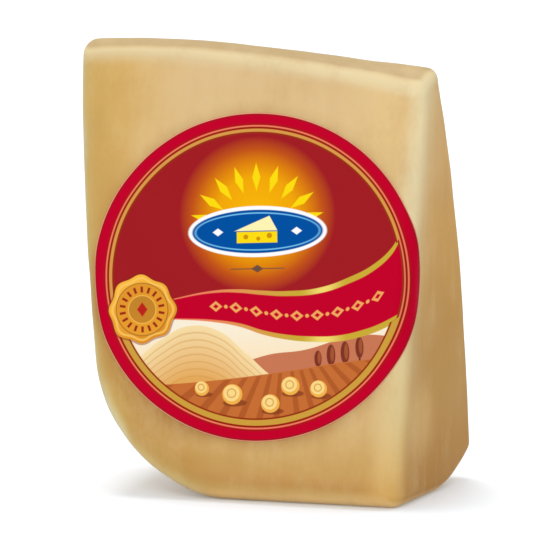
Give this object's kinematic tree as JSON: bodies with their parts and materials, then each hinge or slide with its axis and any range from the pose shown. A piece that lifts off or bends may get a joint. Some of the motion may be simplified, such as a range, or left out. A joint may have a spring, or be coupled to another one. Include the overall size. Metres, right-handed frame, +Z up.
{
  "type": "parmesan cheese chunk",
  "caption": "Wedge of hard yellow cheese cut from a wheel, standing on its rim side, with a round printed paper label that laps round one upright edge.",
  "frame": {"origin": "under the middle of the bounding box, at the level on which the wedge stands", "axes": "+Z up from the wheel's rim to the slanted top, -Y towards the labelled cut face, +X towards the cross cut, -X towards the rind of the wheel's flat side"},
  "size_m": [0.0768, 0.0446, 0.0934],
  "materials": {
    "cheese": "hard cheese, satin and faintly waxy, paler on the cut faces and more orange towards the rind",
    "label": "coated paper, crimson print with gold rings and an orange glow"
  },
  "bodies": {
    "root": {"cheese": "cheese", "label": "label"}
  },
  "joints": []
}
